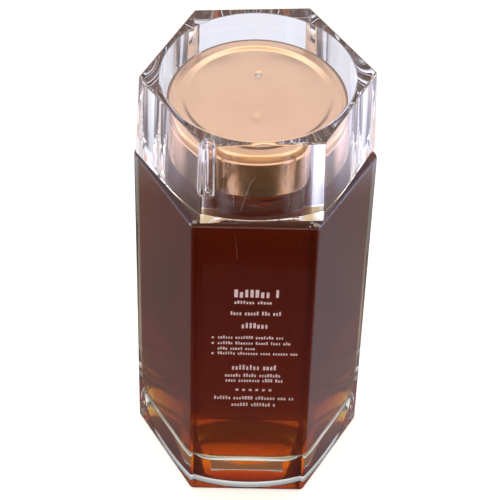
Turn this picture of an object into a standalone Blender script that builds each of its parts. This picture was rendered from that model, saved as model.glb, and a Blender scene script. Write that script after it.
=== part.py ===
"""A hexagonal honey jar: glass jar, honey, gold metal lid, clear cap, film label and sticker.

Metres, +Z up. The origin is the centre of the jar's foot, on the surface that it stands on.
The hexagon has corners on +X and -X, and the label is on the flat side that looks along -Y.
"""

import math

import bmesh
import bpy

MM = 0.001
HEX_SIDES = 6
FLAT_PER_CORNER = math.cos(math.pi / HEX_SIDES)  # a hexagon's inner radius for each unit of its outer radius
CORNER_TURN = 2 * math.pi / HEX_SIDES            # how far the surface turns at a corner of the hexagon

# Driving dimensions
JAR_CORNER_R = 37.0 * MM     # jar's axis to a corner of its body
SHOULDER_Z = 124.6 * MM      # flat shoulder of the jar
CAP_TOP_Z = 154.8 * MM       # top of the clear cap, the highest point
LID_TOP_Z = 146.0 * MM       # top of the gold lid's rim
GLASS_WALL = 3.0 * MM        # side wall of the jar
GLASS_BASE = 6.0 * MM        # from the jar's foot to the middle of the honey's bowl
GAP = 0.3 * MM               # clearance between pieces that touch

# Jar: outside
JAR_FLAT_R = JAR_CORNER_R * FLAT_PER_CORNER
JAR_EDGE_RADIUS = 1.6 * MM
SHOULDER_RADIUS = 2.2 * MM
HEEL_RADIUS = 0.8 * MM
FOOT_WIDTH = 3.4 * MM        # flat ring that the jar stands on
PUNT_DEPTH = 2.0 * MM        # hollow inside that ring
PUNT_SLOPE = 4.2 * MM        # width of the slope up to the hollow's ceiling
PUNT_CORNER_RADIUS = 6.0 * MM

# Jar: neck
NECK_R = 24.8 * MM
NECK_WALL = 2.4 * MM
NECK_ROOT_RADIUS = 2.0 * MM
BEAD_R = 25.9 * MM           # glass ring round the neck, just under the lid
BEAD_Z = SHOULDER_Z + 4.6 * MM
BEAD_HALF_H = 1.5 * MM
NECK_LIP_RADIUS = 1.0 * MM

# Jar: inside
CAVITY_FLAT_R = JAR_FLAT_R - GLASS_WALL
CAVITY_TOP_Z = SHOULDER_Z - 3.2 * MM
CAVITY_EDGE_RADIUS = 5.5 * MM
CAVITY_FLOOR_RADIUS = 20.0 * MM  # the inside ends in a wide bowl
CAVITY_SHOULDER_RADIUS = 4.0 * MM

# Honey
HONEY_LEVEL_Z = 139.0 * MM

# Gold lid
LID_R = 27.2 * MM
LID_BOTTOM_Z = 131.8 * MM
LID_SHEET = 0.6 * MM
LID_EDGE_RADIUS = 2.4 * MM
PANEL_R = 20.8 * MM          # sunk panel in the lid's top
PANEL_SLOPE = 1.7 * MM       # width of the step round that panel
PANEL_DROP = 0.8 * MM
NECK_TOP_Z = LID_TOP_Z - LID_SHEET - PANEL_DROP - GAP

# Clear cap
CAP_BOTTOM_Z = SHOULDER_Z + GAP
CAP_BOTTOM_CORNER_R = 36.3 * MM
CAP_TOP_CORNER_R = 34.9 * MM
CAP_TWIST = math.radians(3.4)    # the cap doesn't line up with the jar
CAP_EDGE_RADIUS = 0.7 * MM
CAP_PLATE = 1.0 * MM             # the cap's top, over the lid
BORE_TOP_R = 29.0 * MM
BORE_BOTTOM_R = 29.6 * MM
BORE_CORNER_RADIUS = 0.5 * MM
NUB_R = 1.0 * MM                 # moulding mark in the middle of the cap's top
NUB_H = 0.35 * MM
PIT_R = 1.3 * MM                 # blind round hole down one corner of the cap
PIT_DEPTH = 18.5 * MM
PIT_CORNER_ANGLE = math.radians(-120)
PIT_INSET = 3.1 * MM             # from the cap's top corner to the hole's axis

# Label
LABEL_WIDTH = 32.6 * MM
LABEL_BOTTOM_Z = 33.2 * MM
LABEL_TOP_Z = 108.0 * MM
LABEL_CENTRE_X = 1.2 * MM
LABEL_FILM = 0.15 * MM
LABEL_CORNER_RADIUS = 0.8 * MM

# Sticker under the jar, in the hollow of its foot
STICKER_WIDTH = 24.0 * MM
STICKER_DEPTH = 13.0 * MM
STICKER_PAPER = 0.15 * MM
STICKER_CENTRE_Y = -10.5 * MM

# Facets
TURN_STEPS = 60
PIT_STEPS = 16
ARC_STEPS = 4
BOWL_STEPS = 6
OVERSHOOT = 2.0 * MM         # how far a cutter reaches past the surface it cuts
MERGE = 0.00001


def clear_scene():
    for old in list(bpy.data.objects):
        bpy.data.objects.remove(old, do_unlink=True)


def make_collection(name):
    made = bpy.data.collections.new(name)
    bpy.context.scene.collection.children.link(made)
    return made


def material(name, colour, roughness, metallic=0.0, transmission=0.0, ior=1.5):
    made = bpy.data.materials.new(name)
    made.use_nodes = True
    shader = made.node_tree.nodes["Principled BSDF"]
    shader.inputs["Base Color"].default_value = (*colour, 1.0)
    shader.inputs["Roughness"].default_value = roughness
    shader.inputs["Metallic"].default_value = metallic
    shader.inputs["Transmission Weight"].default_value = transmission
    shader.inputs["IOR"].default_value = ior
    made.diffuse_color = (*colour, 1.0)
    return made


def add_object(name, mesh, collection, look=None, parent=None):
    made = bpy.data.objects.new(name, mesh)
    collection.objects.link(made)
    made.parent = parent
    if look is not None:
        mesh.materials.append(look)
    return made


def arc(centre_r, centre_z, radius, start_degrees, end_degrees, steps=ARC_STEPS):
    """Points (r, z) along a round stretch of a profile, both ends included."""
    angles = [
        math.radians(start_degrees + (end_degrees - start_degrees) * i / steps)
        for i in range(steps + 1)
    ]
    return [(centre_r + radius * math.cos(a), centre_z + radius * math.sin(a)) for a in angles]


def turned(name, profile, collection, look=None, parent=None, steps=TURN_STEPS):
    """A profile of (r, z) points, from the top down its outer side, turned about Z."""
    mesh = bpy.data.meshes.new(name)
    points = [(r, 0.0, z) for r, z in profile]
    mesh.from_pydata(points, [(i, i + 1) for i in range(len(points) - 1)], [])
    made = add_object(name, mesh, collection, look, parent)
    screw = made.modifiers.new("turn", "SCREW")
    screw.steps = steps
    screw.render_steps = steps
    screw.use_merge_vertices = True
    screw.merge_threshold = MERGE
    return made


def hexagonal(
    name, bottom_r, top_r, bottom_z, top_z, radii, collection, look=None, parent=None, steps=ARC_STEPS,
):
    """A hexagonal prism with rounded edges. radii is (upright edges, bottom edges, top edges)."""
    upright, bottom, top = radii
    shape = bmesh.new()
    bmesh.ops.create_cone(
        shape,
        cap_ends=True,
        segments=HEX_SIDES,
        radius1=bottom_r,
        radius2=top_r,
        depth=top_z - bottom_z,
    )
    first = max(shape.verts, key=lambda v: v.co.y)
    to_corner = -math.atan2(first.co.y, first.co.x)
    for vertex in shape.verts:
        x, y, z = vertex.co
        vertex.co.x = x * math.cos(to_corner) - y * math.sin(to_corner)
        vertex.co.y = x * math.sin(to_corner) + y * math.cos(to_corner)
        vertex.co.z = z + (top_z + bottom_z) / 2
    offsets = {
        "upright": upright * math.tan(CORNER_TURN / 2),
        "bottom": bottom,
        "top": top,
    }
    widest = max(offsets.values())
    weights = shape.edges.layers.float.new("bevel_weight_edge")
    middle_z = (top_z + bottom_z) / 2
    for edge in shape.edges:
        heights = [v.co.z - middle_z for v in edge.verts]
        if heights[0] * heights[1] < 0:
            kind = "upright"
        elif heights[0] < 0:
            kind = "bottom"
        else:
            kind = "top"
        edge[weights] = offsets[kind] / widest
    mesh = bpy.data.meshes.new(name)
    shape.to_mesh(mesh)
    shape.free()
    made = add_object(name, mesh, collection, look, parent)
    bevel = made.modifiers.new("rounded edges", "BEVEL")
    bevel.width = widest
    bevel.segments = steps
    bevel.limit_method = "WEIGHT"
    return made


def boolean(target, other, operation):
    modifier = target.modifiers.new(f"{operation.lower()} {other.name}", "BOOLEAN")
    modifier.operation = operation
    modifier.object = other
    modifier.solver = "EXACT"
    other.hide_render = True
    other.display_type = "WIRE"


def shade(node, sharp_angle=math.radians(40)):
    node.data.shade_smooth()
    node.data.set_sharp_from_angle(angle=sharp_angle)


def neck_outside():
    """The outside of the neck: a rounded lip, a straight wall, a bead and a flared root."""
    lip = arc(NECK_R - NECK_LIP_RADIUS, NECK_TOP_Z - NECK_LIP_RADIUS, NECK_LIP_RADIUS, 90, 0)
    bead_steps = 8
    bead = []
    for i in range(bead_steps + 1):
        turn = math.pi * i / bead_steps
        bead.append((
            NECK_R + (BEAD_R - NECK_R) * math.sin(turn),
            BEAD_Z + BEAD_HALF_H * math.cos(turn),
        ))
    root_centre_z = SHOULDER_Z + NECK_ROOT_RADIUS
    root = arc(NECK_R + NECK_ROOT_RADIUS, root_centre_z, NECK_ROOT_RADIUS, 180, 265)
    foot_r = NECK_R + NECK_ROOT_RADIUS
    foot_z = CAVITY_TOP_Z - OVERSHOOT
    return [(0, NECK_TOP_Z)] + lip + bead + root + [(foot_r, foot_z), (0, foot_z)]


def make_jar(pieces, cutters, glass):
    jar = hexagonal(
        "jar", JAR_CORNER_R, JAR_CORNER_R, 0, SHOULDER_Z,
        (JAR_EDGE_RADIUS, HEEL_RADIUS, SHOULDER_RADIUS), pieces, glass,
    )
    boolean(jar, turned("jar_neck", neck_outside(), cutters), "UNION")

    cavity_corner_r = CAVITY_FLAT_R / FLAT_PER_CORNER
    cavity = hexagonal(
        "jar_cavity", cavity_corner_r, cavity_corner_r, GLASS_BASE, CAVITY_TOP_Z,
        (CAVITY_EDGE_RADIUS, CAVITY_FLOOR_RADIUS, CAVITY_SHOULDER_RADIUS), cutters, steps=BOWL_STEPS,
    )
    boolean(jar, cavity, "DIFFERENCE")

    bore_r = NECK_R - NECK_WALL
    bore_top_z = NECK_TOP_Z + OVERSHOOT
    bore_foot_z = CAVITY_TOP_Z - OVERSHOOT
    bore = [(0, bore_top_z), (bore_r, bore_top_z), (bore_r, bore_foot_z), (0, bore_foot_z)]
    boolean(jar, turned("jar_neck_bore", bore, cutters), "DIFFERENCE")

    punt_r = (JAR_FLAT_R - HEEL_RADIUS - FOOT_WIDTH) / FLAT_PER_CORNER
    punt = hexagonal(
        "jar_punt", punt_r + PUNT_SLOPE, punt_r - PUNT_SLOPE, -PUNT_DEPTH, PUNT_DEPTH,
        (PUNT_CORNER_RADIUS, 0, PUNT_DEPTH / 2), cutters,
    )
    boolean(jar, punt, "DIFFERENCE")
    return jar


def make_honey(pieces, cutters, look):
    corner_r = (CAVITY_FLAT_R - GAP) / FLAT_PER_CORNER
    honey = hexagonal(
        "honey", corner_r, corner_r, GLASS_BASE + GAP, CAVITY_TOP_Z - GAP,
        (CAVITY_EDGE_RADIUS - GAP, CAVITY_FLOOR_RADIUS - GAP, CAVITY_SHOULDER_RADIUS - GAP),
        pieces, look, steps=BOWL_STEPS,
    )
    column_r = NECK_R - NECK_WALL - GAP
    column_foot_z = CAVITY_TOP_Z - OVERSHOOT
    column = [
        (0, HONEY_LEVEL_Z), (column_r, HONEY_LEVEL_Z), (column_r, column_foot_z), (0, column_foot_z),
    ]
    boolean(honey, turned("honey_in_neck", column, cutters), "UNION")
    return honey


def make_lid(pieces, look):
    """One sheet of metal: a sunk panel, a flat rim with a rounded edge, and a skirt."""
    panel_z = LID_TOP_Z - PANEL_DROP
    edge = arc(LID_R - LID_EDGE_RADIUS, LID_TOP_Z - LID_EDGE_RADIUS, LID_EDGE_RADIUS, 90, 0)
    profile = [(0, panel_z), (PANEL_R, panel_z), (PANEL_R + PANEL_SLOPE, LID_TOP_Z)]
    profile += edge + [(LID_R, LID_BOTTOM_Z)]
    lid = turned("lid", profile, pieces, look)
    sheet = lid.modifiers.new("sheet", "SOLIDIFY")
    sheet.thickness = LID_SHEET
    sheet.offset = -1
    return lid


def make_cap(pieces, cutters, look):
    axis = bpy.data.objects.new("cap_axis", None)
    axis.rotation_euler.z = CAP_TWIST
    pieces.objects.link(axis)
    cap = hexagonal(
        "cap", CAP_BOTTOM_CORNER_R, CAP_TOP_CORNER_R, CAP_BOTTOM_Z, CAP_TOP_Z,
        (CAP_EDGE_RADIUS, CAP_EDGE_RADIUS / 2, CAP_EDGE_RADIUS), pieces, look, axis,
    )
    ceiling_z = CAP_TOP_Z - CAP_PLATE
    rounding = arc(
        BORE_TOP_R - BORE_CORNER_RADIUS, ceiling_z - BORE_CORNER_RADIUS, BORE_CORNER_RADIUS, 90, 0,
    )
    bore_foot_z = CAP_BOTTOM_Z - OVERSHOOT
    bore = [(0, ceiling_z)] + rounding + [(BORE_BOTTOM_R, bore_foot_z), (0, bore_foot_z)]
    boolean(cap, turned("cap_bore", bore, cutters, parent=axis), "DIFFERENCE")

    pit_end_z = CAP_TOP_Z - PIT_DEPTH
    pit_top_z = CAP_TOP_Z + OVERSHOOT
    pit_profile = [(0, pit_top_z), (PIT_R, pit_top_z)] + arc(0, pit_end_z + PIT_R, PIT_R, 0, -90)
    pit = turned("cap_pit", pit_profile, cutters, parent=axis, steps=PIT_STEPS)
    pit_distance = CAP_TOP_CORNER_R - PIT_INSET
    pit.location.x = pit_distance * math.cos(PIT_CORNER_ANGLE)
    pit.location.y = pit_distance * math.sin(PIT_CORNER_ANGLE)
    boolean(cap, pit, "DIFFERENCE")

    ball_r = (NUB_R ** 2 + NUB_H ** 2) / (2 * NUB_H)
    half_angle = math.degrees(math.asin(NUB_R / ball_r))
    nub_foot_z = CAP_TOP_Z - CAP_PLATE / 2
    dome = arc(0, CAP_TOP_Z + NUB_H - ball_r, ball_r, 90, 90 - half_angle)
    nub = turned(
        "cap_nub", dome + [(NUB_R, nub_foot_z), (0, nub_foot_z)], cutters, parent=axis, steps=PIT_STEPS,
    )
    boolean(cap, nub, "UNION")
    return cap


def make_label(pieces, look):
    height = LABEL_TOP_Z - LABEL_BOTTOM_Z
    shape = bmesh.new()
    bmesh.ops.create_cube(shape, size=1.0)
    bmesh.ops.scale(shape, vec=(LABEL_WIDTH, LABEL_FILM, height), verts=shape.verts)
    corners = [e for e in shape.edges if abs(e.verts[0].co.y - e.verts[1].co.y) > LABEL_FILM / 2]
    bmesh.ops.bevel(
        shape, geom=corners, offset=LABEL_CORNER_RADIUS, segments=ARC_STEPS, profile=0.5,
        affect="EDGES",
    )
    mesh = bpy.data.meshes.new("label")
    shape.to_mesh(mesh)
    shape.free()
    label = add_object("label", mesh, pieces, look)
    label.location = (
        LABEL_CENTRE_X,
        -(JAR_FLAT_R + GAP + LABEL_FILM / 2),
        (LABEL_TOP_Z + LABEL_BOTTOM_Z) / 2,
    )
    return label


def make_sticker(pieces, look):
    shape = bmesh.new()
    bmesh.ops.create_cube(shape, size=1.0)
    bmesh.ops.scale(shape, vec=(STICKER_WIDTH, STICKER_DEPTH, STICKER_PAPER), verts=shape.verts)
    mesh = bpy.data.meshes.new("sticker")
    shape.to_mesh(mesh)
    shape.free()
    sticker = add_object("sticker", mesh, pieces, look)
    sticker.location = (0, STICKER_CENTRE_Y, PUNT_DEPTH - GAP - STICKER_PAPER / 2)
    return sticker


def main():
    clear_scene()
    pieces = make_collection("honey_jar")
    cutters = make_collection("cutters")
    glass = material("clear glass", (0.93, 0.94, 0.94), 0.03, transmission=1.0, ior=1.52)
    honey = material("amber honey", (0.24, 0.045, 0.012), 0.08, transmission=0.4, ior=1.49)
    gold = material("gold lacquered metal", (0.80, 0.50, 0.27), 0.34, metallic=1.0)
    acrylic = material("clear acrylic", (0.95, 0.94, 0.97), 0.03, transmission=1.0, ior=1.49)
    film = material("clear film", (0.78, 0.76, 0.77), 0.2, transmission=0.6, ior=1.45)
    paper = material("white paper", (0.80, 0.78, 0.76), 0.8)

    made = [
        make_jar(pieces, cutters, glass),
        make_honey(pieces, cutters, honey),
        make_lid(pieces, gold),
        make_cap(pieces, cutters, acrylic),
        make_label(pieces, film),
        make_sticker(pieces, paper),
    ]
    for node in made:
        shade(node)


main()
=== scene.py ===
import math
import random

import bmesh
import bpy
from mathutils import Matrix, Vector


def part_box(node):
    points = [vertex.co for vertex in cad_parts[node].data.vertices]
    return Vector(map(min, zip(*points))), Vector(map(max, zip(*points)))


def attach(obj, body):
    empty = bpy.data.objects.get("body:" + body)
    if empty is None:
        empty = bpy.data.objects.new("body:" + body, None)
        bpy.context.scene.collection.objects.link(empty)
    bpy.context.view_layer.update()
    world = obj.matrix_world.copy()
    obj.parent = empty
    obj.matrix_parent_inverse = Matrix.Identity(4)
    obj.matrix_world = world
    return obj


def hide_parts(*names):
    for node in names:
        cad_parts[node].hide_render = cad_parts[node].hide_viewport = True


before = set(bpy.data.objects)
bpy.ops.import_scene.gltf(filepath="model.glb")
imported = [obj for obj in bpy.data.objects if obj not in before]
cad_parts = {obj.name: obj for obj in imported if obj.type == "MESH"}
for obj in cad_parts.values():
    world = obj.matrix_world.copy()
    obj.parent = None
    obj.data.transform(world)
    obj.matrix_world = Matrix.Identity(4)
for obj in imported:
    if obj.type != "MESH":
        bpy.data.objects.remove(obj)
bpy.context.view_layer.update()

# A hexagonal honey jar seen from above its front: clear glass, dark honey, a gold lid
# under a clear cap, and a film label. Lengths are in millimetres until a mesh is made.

MM = 0.001
SEED = 11
SHARP = math.radians(30)        # edges of flat pieces stay sharp above this angle


def node_box(node):
    """A CAD node's lowest and highest corners, in millimetres."""
    low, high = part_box(node)
    return low / MM, high / MM


_, JAR_HIGH = node_box("jar")
CAP_LOW, CAP_HIGH = node_box("cap")
LID_LOW, LID_HIGH = node_box("lid")
HONEY_LOW, HONEY_HIGH = node_box("honey")
LABEL_LOW, LABEL_HIGH = node_box("label")

COS30 = math.cos(math.radians(30))
SIN30 = 0.5

# Jar, from the frame
JAR_FLAT = JAR_HIGH.y
GAP = 0.3                       # between the CAD's solids
SHOULDER_Z = CAP_LOW.z - GAP
NECK_TOP_Z = JAR_HIGH.z
HONEY_LEVEL_Z = HONEY_HIGH.z
WALL = JAR_FLAT - HONEY_HIGH.y - GAP
BASE_Z = HONEY_LOW.z - GAP
CAVITY_FLAT = JAR_FLAT - WALL

JAR_EDGE_R = 1.76
HEEL_R = 2.2
SHOULDER_R = 2.2
FOOT_Z = 0.04                   # the foot's flat stands a hair clear of the table
PUNT_Z = 1.7
PUNT_DOME = 1.2                 # further rise of the punt, to its middle
PUNT_RINGS = range(2, 26, 2)
PUNT_EDGE = (25.9, 28.9)        # radius where the punt's slope starts, and where it meets the foot
FOOT_INSET = 0.5                # width of the foot's flat, from the heel's curve inwards
FOOT_CORNER_R = 2.0
# How the upright edges tighten at the heel and at the shoulder: share of the inset, least radius
HEEL_EDGE = (0.5, 0.6)
SHOULDER_EDGE = (0.3, 0.8)
SHOULDER_INSET = 0.4            # from the shoulder's rounded edge to the first ripple
RIPPLE = 0.06                   # height of the shoulder's ripples, then their number
RIPPLES = 1.5
NECK_R = 24.8
BORE_R = 22.4
NECK_ROOT_R = 2.0
BEAD_R = 25.9
BEADS_Z = [SHOULDER_Z + z for z in (3.0, 5.1, 8.0, 11.0)]
BEAD_HALF_H = 0.95
LIP_R = 1.0
CAVITY_TOP_Z = SHOULDER_Z - 3.2
CAVITY_EDGE_R = 2.8
CAVITY_SHOULDER_R = 4.0
BORE_ROOT_R = 1.5               # where the bore opens into the cavity
BORE_MID = 4.0                  # height of a ring in the bore, above that curve
FLOOR_Z = BASE_Z + 1.2
BOWL_FRONT = 17.0               # how far the bowl at the cavity's foot reaches in from the front
BOWL_BACK = 7.0
BOWL_DEPTH = 14.0
BOWL_STEPS = 24
BOWL_LIP = (20, 58)             # the part of the bowl's quarter turn, in degrees, that shines
FLOOR_CORNER_R = 11.0
FLOOR_MIDDLE = (5.0, 4.0)       # the last ring before the floor's middle: flat and corner radius
HONEY_INTO_WALL = 0.06

# Lid
LID_R = LID_HIGH.x
LID_TOP_Z = LID_HIGH.z
LID_BOTTOM_Z = LID_LOW.z
LID_EDGE_R = 2.4
LID_SHEET = 0.5
PANEL_R = 20.8
PANEL_SLOPE = 2.2
PANEL_DROP = 0.5
PANEL_CROWN = 0.12
PANEL_RINGS = (4, 8, 12, 16, 19)
SKIRT_RING_H = 6.0              # height of a ring in the skirt, above its lower edge
HEM = 0.2

# Cap
CAP_TWIST = math.radians(3.4)
CAP_CORNER_LOW = 36.3           # from the axis to the cap's corner, at its foot and its top
CAP_CORNER_HIGH = 34.9
CAP_FLAT_LOW = CAP_CORNER_LOW * COS30
CAP_FLAT_HIGH = CAP_CORNER_HIGH * COS30
CAP_BOTTOM_Z = CAP_LOW.z
NUB_R = 1.0
NUB_H = 0.35
CAP_TOP_Z = CAP_HIGH.z - NUB_H
CAP_EDGE_R = 0.7
CAP_PLATE = 1.0
CAP_BORE_TOP = 29.0
CAP_BORE_BOTTOM = 29.6
CAP_TOP_RINGS = (1.6, 6.0, 14.0, 22.0)
CAP_TOP_INSET = 0.8             # from the rounded edge to the last hexagon of the top
CAP_TOP_CORNER_R = 1.0
CAP_BORE_CHAMFER = 0.2
CAP_CEILING_R = 0.5

# The long hole down one corner of the cap
VOID_R = 2.3
VOID_BOTTOM_Z = CAP_TOP_Z - 21.5
VOID_TOP_Z = CAP_TOP_Z - 1.2
VOID_AT = 32.0
VOID_TURN = math.radians(-119.2)
VOID_SIDES = 24
VOID_TAPER = ((6.0, 0.96), (1.2, 0.9), (0.3, 0.6))   # below its top, and the share of its radius

# Absorption of the honey, for each metre of it, in red, green and blue
HONEY_ABSORBS = (19.5, 62.0, 165.0)
HONEY_HAZE = 24.0               # how often light is turned a little on its way, for each metre
HAZE_FORWARD = 0.95
HAZE_COLOUR = (1.0, 0.72, 0.36)

GLASS_IOR = 1.52
ACRYLIC_IOR = 1.49
FILM_IOR = 1.45
# Glass against honey: nearly equal, but for the band of the bowl that shines in the photograph
WET_WALL_RATIO = 1.015
WET_BOWL_RATIO = 1.12
NOISE_ROUGHNESS = 0.55


def polar_angles():
    """Directions round the axis, close together at the hexagon's corners."""
    half = [0.3 * i for i in range(7)] + [2.1 + 0.9 * i for i in range(7)]
    half += [8.4 + 2.4 * i for i in range(10)]
    sextant = half + [60 - a for a in reversed(half) if a > 0]
    sextant = sorted(set(round(a, 6) for a in sextant))
    return [math.radians(60 * s + a) for s in range(6) for a in sextant]


ANGLES = polar_angles()


def circle(z, radius):
    return z, [radius] * len(ANGLES)


def hexagon(z, flat, corner):
    """A ring of the rounded hexagon whose flats are that far from the axis."""
    corner = max(min(corner, flat - 0.01), 0.05)
    centre = (flat - corner) / COS30
    tangent = math.atan2(corner * SIN30, centre + corner * COS30)
    radii = []
    for angle in ANGLES:
        turned = angle % math.radians(60)
        off = min(turned, math.radians(60) - turned)
        if off < tangent:
            reach = math.sqrt(corner ** 2 - (centre * math.sin(off)) ** 2)
            radii.append(centre * math.cos(off) + reach)
        else:
            radii.append(flat / math.cos(math.radians(30) - off))
    return z, radii


def loft(name, rings, looks, bands=None, twist=0.0):
    """A closed surface through the rings, from pole to pole. A pole is (z, None).

    A ring may have a third value, how far it is moved back. Bands gives the number of the
    look for the faces after each ring.
    """
    shape = bmesh.new()
    rows = []
    for z, radii, *moved in rings:
        back = moved[0] if moved else 0.0
        if radii is None:
            rows.append(shape.verts.new((0, back * MM, z * MM)))
        else:
            rows.append([
                shape.verts.new((
                    r * math.cos(a + twist) * MM,
                    (r * math.sin(a + twist) + back) * MM,
                    z * MM,
                ))
                for r, a in zip(radii, ANGLES)
            ])
    count = len(ANGLES)
    for k in range(len(rows) - 1):
        below, above = rows[k], rows[k + 1]
        for i in range(count):
            j = (i + 1) % count
            if isinstance(below, list) and isinstance(above, list):
                corners = (below[i], below[j], above[j], above[i])
            elif isinstance(below, list):
                corners = (below[i], below[j], above)
            else:
                corners = (below, above[j], above[i])
            face = shape.faces.new(corners)
            if bands:
                face.material_index = bands[k]
    bmesh.ops.recalc_face_normals(shape, faces=shape.faces)
    return piece_from(shape, name, looks)


def piece_from(shape, name, looks):
    mesh = bpy.data.meshes.new(name)
    shape.to_mesh(mesh)
    shape.free()
    piece = bpy.data.objects.new(name, mesh)
    bpy.context.scene.collection.objects.link(piece)
    for look in looks:
        mesh.materials.append(look)
    mesh.shade_smooth()
    return piece


def even_normals(piece):
    weighted = piece.modifiers.new("even normals", "WEIGHTED_NORMAL")
    weighted.keep_sharp = True
    weighted.weight = 100


def hand_over(piece, slot, *nodes):
    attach(piece, "root")
    if nodes:
        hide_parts(*nodes)


# Materials

def new_material(name):
    look = bpy.data.materials.new(name)
    look.use_nodes = True
    tree = look.node_tree
    return look, tree, tree.nodes["Principled BSDF"]


def set_sockets(shader, **values):
    for name, value in values.items():
        shader.inputs[name.replace("_", " ")].default_value = value


def object_coordinates(tree):
    return tree.nodes.new("ShaderNodeTexCoord").outputs["Object"]


def noise_texture(tree, scale, detail=3.0):
    texture = tree.nodes.new("ShaderNodeTexNoise")
    texture.inputs["Scale"].default_value = scale
    texture.inputs["Detail"].default_value = detail
    texture.inputs["Roughness"].default_value = NOISE_ROUGHNESS
    tree.links.new(object_coordinates(tree), texture.inputs["Vector"])
    return texture.outputs["Fac"]


def ramp(tree, source, stops):
    """A colour ramp: stops are (position, colour), and a colour may be one grey value."""
    node = tree.nodes.new("ShaderNodeValToRGB")
    elements = node.color_ramp.elements
    while len(elements) < len(stops):
        elements.new(0.5)
    for element, (position, colour) in zip(elements, stops):
        element.position = position
        if isinstance(colour, (int, float)):
            colour = (colour, colour, colour)
        element.color = (*colour, 1.0)
    tree.links.new(source, node.inputs["Fac"])
    return node.outputs["Color"]


def bump(tree, shader, height, distance):
    node = tree.nodes.new("ShaderNodeBump")
    node.inputs["Distance"].default_value = distance
    node.inputs["Strength"].default_value = 1.0
    tree.links.new(height, node.inputs["Height"])
    tree.links.new(node.outputs["Normal"], shader.inputs["Normal"])


def tint_with(tree, shader, source, first, second):
    """The base colour, between two tints by the noise."""
    tree.links.new(ramp(tree, source, [(0.3, first), (0.7, second)]), shader.inputs["Base Color"])


def clear_look(name, ratio, scale, first, second):
    look, tree, shader = new_material(name)
    set_sockets(shader, Transmission_Weight=1.0, IOR=ratio, Roughness=0.0)
    tint_with(tree, shader, noise_texture(tree, scale), first, second)
    return look, tree, shader


GLASS_TINTS = ((0.965, 0.985, 0.98), (0.985, 0.99, 0.985))


def jar_glass_look():
    look, tree, shader = clear_look("jar_glass", GLASS_IOR, 30.0, *GLASS_TINTS)
    bump(tree, shader, noise_texture(tree, 60.0, detail=1.0), 0.00002)
    return look


def neck_glass_look():
    """The moulded glass of the neck and shoulder: streaks that run round the neck."""
    look, tree, shader = clear_look("jar_neck_glass", GLASS_IOR, 30.0, *GLASS_TINTS)
    place = tree.nodes.new("ShaderNodeSeparateXYZ")
    tree.links.new(object_coordinates(tree), place.inputs[0])
    squares = [arithmetic(tree, "POWER", place.outputs[axis], value=2.0) for axis in "XY"]
    radius = arithmetic(tree, "SQRT", arithmetic(tree, "ADD", *squares))
    angle = arithmetic(tree, "ARCTAN2", place.outputs["Y"], place.outputs["X"])
    streak = tree.nodes.new("ShaderNodeCombineXYZ")
    across, along = 700.0, 3.0      # how fine the streaks are, for a metre and for a radian
    for axis, source, fineness in (
        ("X", radius, across), ("Y", angle, along), ("Z", place.outputs["Z"], across),
    ):
        tree.links.new(arithmetic(tree, "MULTIPLY", source, value=fineness), streak.inputs[axis])
    waves = tree.nodes.new("ShaderNodeTexNoise")
    waves.inputs["Scale"].default_value = 1.0
    waves.inputs["Detail"].default_value = 2.0
    tree.links.new(streak.outputs[0], waves.inputs["Vector"])
    bump(tree, shader, waves.outputs["Fac"], 0.0008)
    return look


def wet_wall_look(name, ratio):
    """The inner wall where honey wets it: the glass is only a little denser than the honey."""
    return clear_look(name, ratio, 30.0, 0.995, 1.0)[0]


def honey_look():
    """It only colours the light: how much the glass bends it is in the wet wall's looks."""
    look, tree, _ = clear_look("dark_honey", 1.0, 40.0, (1.0, 0.985, 0.96), (1.0, 0.995, 0.985))
    volume = tree.nodes.new("ShaderNodeVolumeAbsorption")
    density = max(HONEY_ABSORBS)
    volume.inputs["Density"].default_value = density
    volume.inputs["Color"].default_value = (*(1 - a / density for a in HONEY_ABSORBS), 1.0)
    haze = tree.nodes.new("ShaderNodeVolumeScatter")
    haze.inputs["Density"].default_value = HONEY_HAZE
    haze.inputs["Anisotropy"].default_value = HAZE_FORWARD
    haze.inputs["Color"].default_value = (*HAZE_COLOUR, 1.0)
    both = tree.nodes.new("ShaderNodeAddShader")
    tree.links.new(volume.outputs["Volume"], both.inputs[0])
    tree.links.new(haze.outputs["Volume"], both.inputs[1])
    tree.links.new(both.outputs[0], tree.nodes["Material Output"].inputs["Volume"])
    return look


def gold_look():
    look, tree, shader = new_material("satin_gold")
    set_sockets(shader, Metallic=1.0)
    grain = noise_texture(tree, 90.0, detail=5.0)
    tint_with(tree, shader, grain, (0.84, 0.53, 0.31), (0.88, 0.57, 0.345))
    gloss = ramp(tree, noise_texture(tree, 400.0, detail=4.0), [(0.3, 0.18), (0.7, 0.24)])
    tree.links.new(gloss, shader.inputs["Roughness"])
    bump(tree, shader, noise_texture(tree, 600.0, detail=1.0), 0.000004)
    return look


def acrylic_look():
    tints = (0.955, 0.942, 0.988), (0.975, 0.962, 0.998)
    look, tree, shader = clear_look("clear_acrylic", ACRYLIC_IOR, 50.0, *tints)
    bump(tree, shader, noise_texture(tree, 90.0, detail=1.0), 0.00002)
    return look


def film_look():
    look, tree, shader = new_material("label_film")
    set_sockets(shader, IOR=FILM_IOR, Roughness=0.25)
    tint_with(tree, shader, noise_texture(tree, 120.0), (0.62, 0.58, 0.60), (0.70, 0.66, 0.68))
    cover = ramp(tree, noise_texture(tree, 200.0), [(0.3, 0.002), (0.7, 0.005)])
    tree.links.new(cover, shader.inputs["Alpha"])
    return look


def print_look():
    look, tree, shader = new_material("pale_print")
    set_sockets(shader, Roughness=0.5)
    tint_with(tree, shader, noise_texture(tree, 1500.0), (0.80, 0.66, 0.72), (0.98, 0.84, 0.92))
    return look


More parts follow.
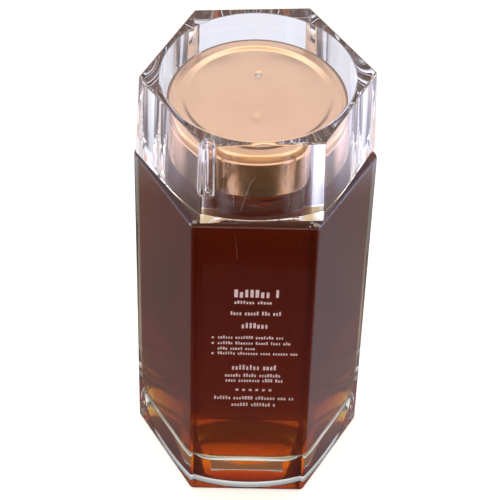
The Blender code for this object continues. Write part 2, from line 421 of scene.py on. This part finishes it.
def paper_look(name, first, second):
    look, tree, shader = new_material(name)
    set_sockets(
        shader, Roughness=0.8,
        Subsurface_Weight=0.7, Subsurface_Radius=(1.0, 0.9, 0.8), Subsurface_Scale=0.0004,
    )
    tint_with(tree, shader, noise_texture(tree, 300.0), first, second)
    return look


# The jar and the honey

def arc_steps(count):
    return [math.pi / 2 * i / count for i in range(count + 1)]


def edge_radius(inset, share, least):
    """The radius of the upright edges where the wall has curved in by that inset."""
    return max(JAR_EDGE_R - inset * share, least)


def underside_rings():
    inner, outer = PUNT_EDGE
    rings = [(PUNT_Z + PUNT_DOME, None)]
    for radius in PUNT_RINGS:
        dome = PUNT_DOME * (1 - (radius / inner) ** 2)
        rings.append(circle(PUNT_Z + dome, radius))
    steps = 8
    for i in range(steps + 1):
        t = i / steps
        fall = (1 + math.cos(math.pi * t)) / 2
        rings.append(circle(FOOT_Z + (PUNT_Z - FOOT_Z) * fall, inner + (outer - inner) * t))
    rings.append(hexagon(FOOT_Z, JAR_FLAT - HEEL_R - FOOT_INSET, FOOT_CORNER_R))
    for angle in arc_steps(8):
        inset = HEEL_R * (1 - math.sin(angle))
        z = FOOT_Z + HEEL_R * (1 - math.cos(angle))
        rings.append(hexagon(z, JAR_FLAT - inset, edge_radius(inset, *HEEL_EDGE)))
    return rings


def body_rings():
    low = FOOT_Z + HEEL_R
    high = SHOULDER_Z - SHOULDER_R
    count = 10
    rings = [
        hexagon(low + (high - low) * i / count, JAR_FLAT, JAR_EDGE_R) for i in range(1, count + 1)
    ]
    for angle in arc_steps(8)[1:]:
        inset = SHOULDER_R * (1 - math.cos(angle))
        z = high + SHOULDER_R * math.sin(angle)
        rings.append(hexagon(z, JAR_FLAT - inset, edge_radius(inset, *SHOULDER_EDGE)))
    return rings


def shoulder_rings():
    """Shallow ripples that the mould leaves on the shoulder, round the neck."""
    rings = []
    inner, outer = NECK_R + NECK_ROOT_R, JAR_FLAT - SHOULDER_R - SHOULDER_INSET
    steps = 24
    for i in range(steps + 1):
        t = i / steps
        height = RIPPLE * math.sin(math.pi * t) * math.sin(2 * math.pi * RIPPLES * t)
        rings.append(circle(SHOULDER_Z + height - RIPPLE, outer + (inner - outer) * t))
    return rings


def neck_rings():
    rings = []
    for angle in arc_steps(6):
        radius = NECK_R + NECK_ROOT_R * (1 - math.sin(angle))
        rings.append(circle(SHOULDER_Z + NECK_ROOT_R * (1 - math.cos(angle)), radius))
    steps = 12
    for bead_z in BEADS_Z:
        for i in range(steps + 1):
            turn = math.pi * (1 - i / steps)
            radius = NECK_R + (BEAD_R - NECK_R) * math.sin(turn)
            rings.append(circle(bead_z + BEAD_HALF_H * math.cos(turn), radius))
    lip = [
        (NECK_TOP_Z - LIP_R * (1 - math.sin(angle)), LIP_R * (1 - math.cos(angle)))
        for angle in arc_steps(5)
    ]
    rings += [circle(z, NECK_R - inset) for z, inset in lip]
    rings += [circle(z, BORE_R + inset) for z, inset in reversed(lip)]
    return rings


def cavity_rings(grow=0.0):
    """The inside of the glass, from the honey's level to the middle of the floor."""
    flat = CAVITY_FLAT + grow
    top = CAVITY_TOP_Z + grow
    floor = FLOOR_Z - grow
    bore = BORE_R + grow
    rings = [circle(HONEY_LEVEL_Z, bore), circle(top + BORE_ROOT_R + BORE_MID, bore)]
    for angle in arc_steps(5):
        radius = bore + BORE_ROOT_R * (1 - math.cos(angle))
        rings.append(circle(top + BORE_ROOT_R * (1 - math.sin(angle)), radius))
    for angle in reversed(arc_steps(8)):
        inset = CAVITY_SHOULDER_R * (1 - math.cos(angle))
        z = top - CAVITY_SHOULDER_R * (1 - math.sin(angle))
        rings.append(hexagon(z, flat - inset, CAVITY_EDGE_R))
    count = 8
    low = floor + BOWL_DEPTH
    high = top - CAVITY_SHOULDER_R
    rings += [
        hexagon(high + (low - high) * i / count, flat, CAVITY_EDGE_R) for i in range(1, count)
    ]
    for angle in arc_steps(BOWL_STEPS):
        inset = (BOWL_FRONT + BOWL_BACK) / 2 * (1 - math.cos(angle))
        back = (BOWL_FRONT - BOWL_BACK) / 2 * (1 - math.cos(angle))
        share = angle / (math.pi / 2)
        corner = CAVITY_EDGE_R + (FLOOR_CORNER_R - CAVITY_EDGE_R) * share
        rings.append((*hexagon(low - BOWL_DEPTH * math.sin(angle), flat - inset, corner), back))
    rings += [(*hexagon(floor, *FLOOR_MIDDLE), back), (floor, None, back)]
    return rings


def make_jar(glass, wet_wall, wet_bowl, neck_glass):
    """Band 0 is the body, 1 the wet wall, 2 the lip of the bowl, 3 the shoulder and the neck."""
    body = underside_rings() + body_rings()
    dry = body + shoulder_rings() + neck_rings()
    wet = cavity_rings()
    bands = [0] * len(body) + [3] * (len(dry) - len(body)) + [1] * (len(wet) - 1)
    first = len(dry) + len(wet) - 3 - BOWL_STEPS    # the last two rings are the floor's middle
    for i in range(BOWL_STEPS):
        if BOWL_LIP[0] <= 90 * (i + 0.5) / BOWL_STEPS <= BOWL_LIP[1]:
            bands[first + i] = 2
    jar = loft("jar_glass", dry + wet, [glass, wet_wall, wet_bowl, neck_glass], bands)
    even_normals(jar)
    hand_over(jar, "glass", "jar")


def make_honey(look):
    rings = [(HONEY_LEVEL_Z, None)] + cavity_rings(HONEY_INTO_WALL)
    honey = loft("honey_fill", rings, [look])
    even_normals(honey)
    hand_over(honey, "honey", "honey")


# The lid

def lid_outline():
    """(radius, z) down the outside of the lid, from its middle to its lower edge."""
    panel_z = LID_TOP_Z - PANEL_DROP
    outline = [(0.0, panel_z + PANEL_CROWN)]
    outline += [(r, panel_z + PANEL_CROWN * (1 - (r / PANEL_R) ** 2)) for r in PANEL_RINGS]
    steps = 10
    for i in range(steps + 1):
        t = i / steps
        rise = (1 - math.cos(math.pi * t)) / 2
        outline.append((PANEL_R + PANEL_SLOPE * t, panel_z + PANEL_DROP * rise))
    for angle in reversed(arc_steps(12)):
        outline.append((
            LID_R - LID_EDGE_R * (1 - math.cos(angle)),
            LID_TOP_Z - LID_EDGE_R * (1 - math.sin(angle)),
        ))
    outline += [(LID_R, LID_BOTTOM_Z + SKIRT_RING_H), (LID_R, LID_BOTTOM_Z + HEM)]
    return outline


def make_lid(look):
    outside = lid_outline()
    inside = []
    for k in range(len(outside) - 1, 0, -1):
        r, z = outside[k]
        before = outside[k - 1]
        along = Vector((r - before[0], z - before[1])).normalized()
        inside.append((r + along.y * LID_SHEET, z - along.x * LID_SHEET))
    rings = [(outside[0][1], None)] + [circle(z, r) for r, z in outside[1:]]
    rings.append(circle(LID_BOTTOM_Z, LID_R - LID_SHEET / 2))
    rings += [circle(z, r) for r, z in inside]
    rings.append((outside[0][1] - LID_SHEET, None))
    lid = loft("gold_lid", rings, [look])
    even_normals(lid)
    hand_over(lid, "gold_metal", "lid")


# The cap

def cap_flat(z):
    share = (z - CAP_BOTTOM_Z) / (CAP_TOP_Z - CAP_BOTTOM_Z)
    return CAP_FLAT_LOW + (CAP_FLAT_HIGH - CAP_FLAT_LOW) * share


def cap_rings():
    rings = [(CAP_TOP_Z + NUB_H, None)]
    steps = 6
    for i in range(1, steps + 1):
        angle = i / steps * math.pi / 2
        rings.append(circle(CAP_TOP_Z + NUB_H * math.cos(angle), NUB_R * math.sin(angle)))
    rings += [circle(CAP_TOP_Z, r) for r in CAP_TOP_RINGS]
    flat = cap_flat(CAP_TOP_Z) - CAP_EDGE_R - CAP_TOP_INSET
    rings.append(hexagon(CAP_TOP_Z, flat, CAP_TOP_CORNER_R))
    for angle in reversed(arc_steps(6)):
        z = CAP_TOP_Z - CAP_EDGE_R * (1 - math.sin(angle))
        rings.append(hexagon(z, cap_flat(z) - CAP_EDGE_R * (1 - math.cos(angle)), CAP_EDGE_R))
    low_r = CAP_EDGE_R / 2
    count = 6
    high = CAP_TOP_Z - CAP_EDGE_R
    low = CAP_BOTTOM_Z + low_r
    for i in range(1, count):
        z = high + (low - high) * i / count
        rings.append(hexagon(z, cap_flat(z), CAP_EDGE_R))
    for angle in arc_steps(4):
        z = low - low_r * math.sin(angle)
        rings.append(hexagon(z, cap_flat(z) - low_r * (1 - math.cos(angle)), CAP_EDGE_R))
    rings.append(circle(CAP_BOTTOM_Z, CAP_BORE_BOTTOM + CAP_BORE_CHAMFER))
    rings.append(circle(CAP_BOTTOM_Z + CAP_BORE_CHAMFER, CAP_BORE_BOTTOM))
    ceiling = CAP_TOP_Z - CAP_PLATE
    for angle in arc_steps(5):
        radius = CAP_BORE_TOP - CAP_CEILING_R * (1 - math.cos(angle))
        rings.append(circle(ceiling - CAP_CEILING_R * (1 - math.sin(angle)), radius))
    rings += [circle(ceiling, r) for r in CAP_TOP_RINGS[:0:-1]]
    rings.append((ceiling, None))
    return rings


def add_void(cap):
    """The long hole in the thick corner of the moulding, as an inner surface."""
    shape = bmesh.new()
    shape.from_mesh(cap.data)
    corner = VOID_TURN + CAP_TWIST
    centre = Vector((VOID_AT * math.cos(corner), VOID_AT * math.sin(corner)))
    profile = [(VOID_BOTTOM_Z, 0.0)]
    profile += [
        (VOID_BOTTOM_Z + VOID_R * (1 - math.cos(a)), VOID_R * math.sin(a)) for a in arc_steps(8)[1:]
    ]
    profile += [(VOID_TOP_Z - down, VOID_R * share) for down, share in VOID_TAPER]
    profile.append((VOID_TOP_Z, 0.0))
    rows = []
    for z, radius in profile:
        if radius == 0.0:
            rows.append([shape.verts.new((centre.x * MM, centre.y * MM, z * MM))] * VOID_SIDES)
            continue
        rows.append([
            shape.verts.new((
                (centre.x + radius * math.cos(2 * math.pi * i / VOID_SIDES)) * MM,
                (centre.y + radius * math.sin(2 * math.pi * i / VOID_SIDES)) * MM,
                z * MM,
            ))
            for i in range(VOID_SIDES)
        ])
    for below, above in zip(rows, rows[1:]):
        for i in range(VOID_SIDES):
            j = (i + 1) % VOID_SIDES
            corners = []
            for vertex in (below[i], above[i], above[j], below[j]):
                if vertex not in corners:
                    corners.append(vertex)
            shape.faces.new(corners)
    shape.to_mesh(cap.data)
    shape.free()
    cap.data.shade_smooth()


def make_cap(look):
    cap = loft("clear_cap", cap_rings(), [look], twist=CAP_TWIST)
    add_void(cap)
    even_normals(cap)
    hand_over(cap, "clear_cap", "cap")


# The label

LABEL_BACK = 0.01               # in front of the glass
LABEL_FRONT = 0.09
LABEL_CORNER_R = 0.8
PRINT_THICKNESS = 0.03


def slab(shape, x, z, width, height, back, front):
    """A thin upright block in front of the jar, centred on x and z."""
    made = bmesh.ops.create_cube(shape, size=1.0)["verts"]
    bmesh.ops.scale(shape, vec=(width * MM, (back - front) * MM, height * MM), verts=made)
    bmesh.ops.translate(shape, vec=(x * MM, (back + front) / 2 * MM, z * MM), verts=made)


def make_label(film, ink):
    face = -JAR_FLAT
    shape = bmesh.new()
    width = LABEL_HIGH.x - LABEL_LOW.x
    height = LABEL_HIGH.z - LABEL_LOW.z
    x = (LABEL_HIGH.x + LABEL_LOW.x) / 2
    z = (LABEL_HIGH.z + LABEL_LOW.z) / 2
    slab(shape, x, z, width, height, face - LABEL_BACK, face - LABEL_FRONT)
    half = (LABEL_FRONT - LABEL_BACK) / 2 * MM
    through = [e for e in shape.edges if abs(e.verts[0].co.y - e.verts[1].co.y) > half]
    bmesh.ops.bevel(
        shape, geom=through, offset=LABEL_CORNER_R * MM, segments=6, profile=0.5, affect="EDGES",
    )
    label = piece_from(shape, "label_film", [film])
    label.data.set_sharp_from_angle(angle=SHARP)
    hand_over(label, "label_film", "label")
    make_print(face - LABEL_FRONT, ink)


# Rows of the print: left and right end, middle height, height and spacing of its marks
PRINT_ROWS = (
    (-5.9, 8.6, 95.0, 3.4, 1.6),
    (-5.7, 6.0, 91.5, 1.4, 0.9),
    (-6.8, 9.1, 86.6, 1.7, 0.9),
    (-3.4, 5.8, 81.0, 2.4, 1.2),
    (-10.5, 9.8, 75.8, 1.3, 0.8),
    (-10.5, 11.9, 73.2, 1.3, 0.8),
    (-10.5, 1.5, 70.7, 1.3, 0.8),
    (-10.5, 14.5, 68.5, 1.3, 0.8),
    (-6.0, 8.3, 61.8, 2.3, 1.1),
    (-8.1, 10.4, 58.2, 1.5, 0.85),
    (-7.9, 10.3, 55.8, 1.5, 0.85),
    (-11.4, 13.9, 47.4, 1.6, 0.9),
    (-5.8, 8.5, 44.2, 1.6, 0.9),
)
BULLETS = ((-11.9, 75.8), (-11.9, 73.2), (-11.9, 68.5))
BULLET_SIZE = (0.7, 0.8)
DOT_ROW = (-4.05, 6.36, 51.5, 6)
DOT_SIZE = (0.9, 1.0)
MARK_HEIGHT = 0.72              # share of its row's height that a mark has
MARK_WIDTHS = (0.5, 0.72)       # and of its spacing
MARK_RISES = (0.0, 0.0, 0.35)   # one in three stands up above the rest
WORD_GAP = 0.8


def make_print(front, ink):
    """Rows of small plain marks that stand for words, three bullets and a row of dots."""
    draw = random.Random(SEED)
    shape = bmesh.new()
    top = front - PRINT_THICKNESS
    for left, right, z, height, pitch in PRINT_ROWS:
        x = left
        until_gap = draw.randint(4, 8)
        while x < right - pitch * 0.4:
            tall = 1.0 + draw.choice(MARK_RISES)
            wide = pitch * draw.uniform(*MARK_WIDTHS)
            middle = z + height * (tall - 1) / 2
            slab(shape, x + pitch / 2, middle, wide, height * tall * MARK_HEIGHT, front, top)
            x += pitch
            until_gap -= 1
            if until_gap == 0:
                x += pitch * WORD_GAP
                until_gap = draw.randint(3, 8)
    for x, z in BULLETS:
        slab(shape, x, z, *BULLET_SIZE, front, top)
    left, right, z, count = DOT_ROW
    for i in range(count):
        slab(shape, left + (right - left) * i / (count - 1), z, *DOT_SIZE, front, top)
    marks = piece_from(shape, "label_print", [ink])
    marks.data.set_sharp_from_angle(angle=SHARP)
    hand_over(marks, "label_film")


STICKER_SIZE = (24.0, 13.0, 0.12)
STICKER_AT = (0.0, -10.5, PUNT_Z + PUNT_DOME * 0.72)


def make_sticker(paper, glue):
    """A plain paper sticker on the jar's underside, seen through the thick base."""
    shape = bmesh.new()
    made = bmesh.ops.create_cube(shape, size=1.0)["verts"]
    bmesh.ops.scale(shape, vec=Vector(STICKER_SIZE) * MM, verts=made)
    bmesh.ops.translate(shape, vec=Vector(STICKER_AT) * MM, verts=made)
    for face in shape.faces:
        face.material_index = 1 if face.normal.z > 0.5 else 0
    sticker = piece_from(shape, "base_sticker", [paper, glue])
    sticker.data.set_sharp_from_angle(angle=SHARP)
    hand_over(sticker, "sticker_paper", "sticker")


# Scratches, and chips that are also painted glints

# (x, z) down each scratch on the front flats of the cap and of the jar
CAP_SCRATCHES = (
    ((-11.1, 152.9), (-10.2, 147.3), (-8.9, 140.9), (-8.4, 135.1), (-8.3, 131.0)),
    ((-1.5, 143.7), (-3.8, 140.0), (-5.6, 132.4), (-6.4, 129.3)),
    ((4.2, 150.8), (4.9, 147.6)),
)
JAR_SCRATCHES = (
    ((-5.8, 120.3), (-5.65, 118.0)),
    ((-5.6, 117.2), (-5.3, 114.2)),
    ((-5.2, 113.6), (-5.0, 110.3)),
    ((13.1, 118.7), (13.3, 118.3)),
    ((13.3, 116.2), (13.3, 115.8)),
    ((-14.5, 107.4), (-14.6, 106.4)),
)
CAP_SCRATCH_WIDTH = 0.16
JAR_SCRATCH_WIDTH = 0.2
SCRATCH_OUT = 0.01              # middle of a scratch in front of the surface
SCRATCH_HALF = 0.02             # half its thickness
# Small white chips on the shoulder's two front corners, also painted highlights for the glints of
# its rounding: direction in degrees, radius, height, size
CHIPS_AND_GLINTS = (
    (-120.0, 35.3, 123.7, 0.75), (-118.6, 34.6, 124.2, 0.5), (-121.8, 35.5, 122.6, 0.45),
    (-60.0, 35.3, 123.6, 0.85), (-61.5, 34.5, 124.2, 0.55), (-58.6, 35.3, 122.8, 0.5),
    (-62.6, 34.9, 123.3, 0.4),
)


def hairline(shape, points, width):
    """A slim raised line through the points, with its flat side to the front."""
    rows = []
    for k, point in enumerate(points):
        half = width / 2 if 0 < k < len(points) - 1 else width / 5
        deep = SCRATCH_HALF
        rows.append([
            shape.verts.new(Vector((point[0] + dx, point[1] + dy, point[2])) * MM)
            for dx, dy in ((-half, deep), (half, deep), (half, -deep), (-half, -deep))
        ])
    for above, below in zip(rows, rows[1:]):
        for i in range(4):
            j = (i + 1) % 4
            shape.faces.new((above[i], above[j], below[j], below[i]))
    shape.faces.new(rows[0][::-1])
    shape.faces.new(rows[-1])


def lay_hairlines(name, slot, lines, width, look):
    shape = bmesh.new()
    for points in lines:
        hairline(shape, points, width)
    bmesh.ops.recalc_face_normals(shape, faces=shape.faces)
    scratches = piece_from(shape, name, [look])
    scratches.data.set_sharp_from_angle(angle=SHARP)
    hand_over(scratches, slot)


def make_scratches(look):
    turn = Matrix.Rotation(CAP_TWIST, 3, "Z")
    on_cap = [
        [turn @ Vector((x, -cap_flat(z) - SCRATCH_OUT, z)) for x, z in line]
        for line in CAP_SCRATCHES
    ]
    on_jar = [[Vector((x, -JAR_FLAT - SCRATCH_OUT, z)) for x, z in line] for line in JAR_SCRATCHES]
    lay_hairlines("cap_scratches", "clear_cap", on_cap, CAP_SCRATCH_WIDTH, look)
    lay_hairlines("jar_scratches", "glass", on_jar, JAR_SCRATCH_WIDTH, look)


# White chips that are also painted highlights: they stand for the glints on the shoulder's front
# corners.
def make_chips_and_glints(look):
    shape = bmesh.new()
    for degrees, radius, z, size in CHIPS_AND_GLINTS:
        angle = math.radians(degrees)
        place = Vector((radius * math.cos(angle), radius * math.sin(angle), z)) * MM
        made = bmesh.ops.create_icosphere(shape, subdivisions=2, radius=size * MM)["verts"]
        bmesh.ops.scale(shape, vec=(1.0, 0.8, 0.6), verts=made)
        bmesh.ops.translate(shape, vec=place, verts=made)
    chips = piece_from(shape, "shoulder_chips_and_glints", [look])
    hand_over(chips, "glass")


# Pale marks: real scratches, and the chips' painted glints
def scratch_and_glint_look(name, cover):
    look, tree, shader = new_material(name)
    set_sockets(shader, Roughness=0.45)
    tint_with(tree, shader, noise_texture(tree, 500.0), (0.86, 0.80, 0.84), (0.98, 0.94, 0.98))
    seen = ramp(tree, noise_texture(tree, 700.0), [(0.35, cover * 0.4), (0.65, cover)])
    tree.links.new(seen, shader.inputs["Alpha"])
    return look


# Stage, light and camera

FLOOR_WHITE = 0.93
FLOOR_LIFT = 0.65               # light that the floor shows to the camera of its own
FLOOR_SIZE = 4.0

# Painted light and shade of the table, as the glass sees it, against the distance in metres from
# the jar's axis: a bright painted pool under the jar, a painted contact shadow round its foot,
# painted shadow behind it and painted shade in front, and brighter table further out
TABLE_LIGHT_BEHIND = [
    (0.022, 0.90), (0.027, 0.30), (0.034, 0.20), (0.044, 0.36), (0.057, 0.33),
    (0.072, 0.28), (0.10, 0.22), (0.12, 0.09), (0.143, 0.07), (0.156, (0.80, 0.85, 0.93)),
    (0.18, (0.92, 0.97, 1.0)),
]
TABLE_LIGHT_BESIDE = [(0.022, 2.4), (0.027, 0.95), (0.14, 1.0), (0.155, 1.3), (0.18, (4.2, 4.3, 5.2))]
TABLE_LIGHT_BEFORE = [
    (0.022, 0.90), (0.027, 0.30), (0.045, 0.16), (0.062, 0.13), (0.08, 0.11),
    (0.107, 0.09), (0.145, 0.04), (0.16, (0.11, 0.075, 0.04)), (0.3, (0.14, 0.10, 0.055)),
    (0.40, (0.16, 0.12, 0.07)), (0.50, (1.5, 1.4, 1.4)),
]
# Round the jar, as a share of a full turn: 0 front, 0.25 left, 0.5 behind, 0.75 right
SIDE_TINT = [(0.4, (0.30, 0.28, 0.27)), (0.6, (0.42, 0.41, 0.44))]
IS_BEHIND = [(0.30, 0.0), (0.42, 1.0), (0.58, 1.0), (0.70, 0.0)]
IS_BEFORE = [(0.13, 1.0), (0.20, 0.0), (0.80, 0.0), (0.87, 1.0)]

# A screen behind the table, seen only in the glass and the metal, against its height in metres
SCREEN_Y = 0.3
SCREEN_TOP = 0.34
SCREEN_WIDTH = 2.0
SCREEN_THICKNESS = 0.002
SCREEN = [(0.20, 0.17), (0.26, 0.20), (0.28, 0.35), (0.31, 0.90), (0.335, 1.10)]

# The room, against the height of the direction (0 level, 1 straight up)
SKY_BEHIND = [
    (0.0, (0.90, 0.90, 0.94)), (0.5, (1.0, 1.0, 1.06)), (0.74, (1.0, 1.0, 1.04)),
    (0.82, (1.9, 1.9, 1.85)), (0.90, (2.4, 2.3, 2.1)), (0.95, (1.6, 1.35, 1.0)),
    (1.0, (0.9, 0.7, 0.45)),
]
SKY_BEFORE = [
    (0.0, (1.8, 1.7, 1.75)), (0.09, (1.8, 1.7, 1.75)), (0.15, (0.45, 0.34, 0.22)),
    (0.35, (0.45, 0.34, 0.22)), (0.50, (0.58, 0.43, 0.27)), (0.80, (0.78, 0.60, 0.37)),
    (1.0, (0.95, 0.76, 0.52)),
]

# Where the room's front meets its back, against the direction's Y plus a half
IS_SKY_BEHIND = [(0.35, 0.0), (0.65, 1.0)]


def painted_light(name):
    """A surface of plain light, with what it shows to the camera left open."""
    look = bpy.data.materials.new(name)
    look.use_nodes = True
    tree = look.node_tree
    tree.nodes.clear()
    output = tree.nodes.new("ShaderNodeOutputMaterial")
    seen = tree.nodes.new("ShaderNodeEmission")
    tree.links.new(seen.outputs[0], output.inputs["Surface"])
    return look, tree, seen, output


def mixed(tree, share, first, second, blend="MIX"):
    node = tree.nodes.new("ShaderNodeMix")
    node.data_type = "RGBA"
    node.blend_type = blend
    if share is None:
        node.inputs["Factor"].default_value = 1.0
    else:
        tree.links.new(share, node.inputs["Factor"])
    tree.links.new(first, node.inputs["A"])
    tree.links.new(second, node.inputs["B"])
    return node.outputs["Result"]


def arithmetic(tree, operation, first, second=None, value=0.0):
    node = tree.nodes.new("ShaderNodeMath")
    node.operation = operation
    tree.links.new(first, node.inputs[0])
    if second is None:
        node.inputs[1].default_value = value
    else:
        tree.links.new(second, node.inputs[1])
    return node.outputs[0]


def floor_look():
    """Plain white to the camera. The glass sees painted light: a mostly grey table round the jar,
    with a bright painted pool under it and painted shadows round it.
    """
    look, tree, seen, output = painted_light("floor")
    place = object_coordinates(tree)
    length = tree.nodes.new("ShaderNodeVectorMath")
    length.operation = "LENGTH"
    tree.links.new(place, length.inputs[0])
    distance = length.outputs["Value"]
    parts = tree.nodes.new("ShaderNodeSeparateXYZ")
    tree.links.new(place, parts.inputs[0])
    angle = arithmetic(tree, "ARCTAN2", parts.outputs["X"], parts.outputs["Y"])
    turn = arithmetic(tree, "ADD", arithmetic(tree, "DIVIDE", angle, value=2 * math.pi), value=0.5)
    # the table's painted light and painted shadows, by distance and by turn round the jar
    beside = mixed(
        tree, None, ramp(tree, distance, TABLE_LIGHT_BESIDE), ramp(tree, turn, SIDE_TINT), "MULTIPLY",
    )
    table = mixed(tree, ramp(tree, turn, IS_BEHIND), beside, ramp(tree, distance, TABLE_LIGHT_BEHIND))
    table = mixed(tree, ramp(tree, turn, IS_BEFORE), table, ramp(tree, distance, TABLE_LIGHT_BEFORE))
    tree.links.new(table, seen.inputs["Color"])

    white = tree.nodes.new("ShaderNodeBsdfDiffuse")
    white.inputs["Color"].default_value = (FLOOR_WHITE, FLOOR_WHITE, FLOOR_WHITE, 1.0)
    lift = tree.nodes.new("ShaderNodeEmission")
    lift.inputs["Strength"].default_value = FLOOR_LIFT
    pale = tree.nodes.new("ShaderNodeAddShader")
    tree.links.new(white.outputs[0], pale.inputs[0])
    tree.links.new(lift.outputs[0], pale.inputs[1])
    chosen = tree.nodes.new("ShaderNodeMixShader")
    path = tree.nodes.new("ShaderNodeLightPath")
    tree.links.new(path.outputs["Is Camera Ray"], chosen.inputs[0])
    tree.links.new(seen.outputs[0], chosen.inputs[1])
    tree.links.new(pale.outputs[0], chosen.inputs[2])
    tree.links.new(chosen.outputs[0], output.inputs["Surface"])
    return look


def screen_look():
    look, tree, seen, output = painted_light("screen")
    parts = tree.nodes.new("ShaderNodeSeparateXYZ")
    tree.links.new(object_coordinates(tree), parts.inputs[0])
    tree.links.new(ramp(tree, parts.outputs["Z"], SCREEN), seen.inputs["Color"])
    return look


def make_stage():
    shape = bmesh.new()
    bmesh.ops.create_grid(shape, x_segments=1, y_segments=1, size=FLOOR_SIZE)
    floor = piece_from(shape, "floor", [floor_look()])

    shape = bmesh.new()
    bmesh.ops.create_cube(shape, size=1.0)
    bmesh.ops.scale(shape, vec=(SCREEN_WIDTH, SCREEN_THICKNESS, SCREEN_TOP), verts=shape.verts)
    bmesh.ops.translate(shape, vec=(0, SCREEN_Y, SCREEN_TOP / 2), verts=shape.verts)
    screen = piece_from(shape, "screen", [screen_look()])
    screen.visible_camera = False


def make_world():
    world = bpy.data.worlds.new("studio")
    bpy.context.scene.world = world
    world.use_nodes = True
    tree = world.node_tree
    background = tree.nodes["Background"]
    parts = tree.nodes.new("ShaderNodeSeparateXYZ")
    tree.links.new(tree.nodes.new("ShaderNodeTexCoord").outputs["Generated"], parts.inputs[0])
    behind = ramp(tree, parts.outputs["Z"], SKY_BEHIND)
    before = ramp(tree, parts.outputs["Z"], SKY_BEFORE)
    side = ramp(tree, arithmetic(tree, "ADD", parts.outputs["Y"], value=0.5), IS_SKY_BEHIND)
    tree.links.new(mixed(tree, side, before, behind), background.inputs["Color"])
    background.inputs["Strength"].default_value = 1.0


# The camera, fitted to the photograph: it looks down at the front of the jar
LENS_MM = 154.4
VIEW_DOWN = math.radians(45.37)
VIEW_ROLL = math.radians(-1.815)
VIEW_YAW = math.radians(0.976)
AXIS_IN_VIEW = Vector((-1.02, -57.38, -735.16))   # the jar's foot, seen from the camera


def make_camera():
    turn = (
        Matrix.Rotation(VIEW_ROLL, 4, "Z")
        @ Matrix.Rotation(VIEW_DOWN - math.pi / 2, 4, "X")
        @ Matrix.Rotation(VIEW_YAW, 4, "Z")
    )
    to_camera = Matrix.Translation(AXIS_IN_VIEW * MM) @ turn
    data = bpy.data.cameras.new("camera")
    data.sensor_width = 36.0
    data.lens = LENS_MM
    data.clip_start = 0.01
    camera = bpy.data.objects.new("camera", data)
    bpy.context.scene.collection.objects.link(camera)
    camera.matrix_world = to_camera.inverted()
    bpy.context.scene.camera = camera


def set_light_paths():
    scene = bpy.context.scene
    scene.view_settings.view_transform = "Standard"
    scene.cycles.max_bounces = 40
    scene.cycles.transmission_bounces = 40
    scene.cycles.glossy_bounces = 12
    scene.cycles.volume_bounces = 12
    scene.cycles.transparent_max_bounces = 16
    scene.cycles.use_denoising = True


make_camera()
make_jar(
    jar_glass_look(),
    wet_wall_look("jar_wet_wall", WET_WALL_RATIO),
    wet_wall_look("jar_wet_bowl", WET_BOWL_RATIO),
    neck_glass_look(),
)
make_honey(honey_look())
make_lid(gold_look())
make_cap(acrylic_look())
make_label(film_look(), print_look())
make_sticker(
    paper_look("sticker_paper", (0.76, 0.74, 0.72), (0.84, 0.82, 0.80)),
    paper_look("sticker_glue", (0.92, 0.50, 0.34), (0.98, 0.58, 0.42)),
)
make_scratches(scratch_and_glint_look("fine_scratches", 0.3))
make_chips_and_glints(scratch_and_glint_look("small_chips_and_glints", 1.0))
make_stage()
make_world()
set_light_paths()
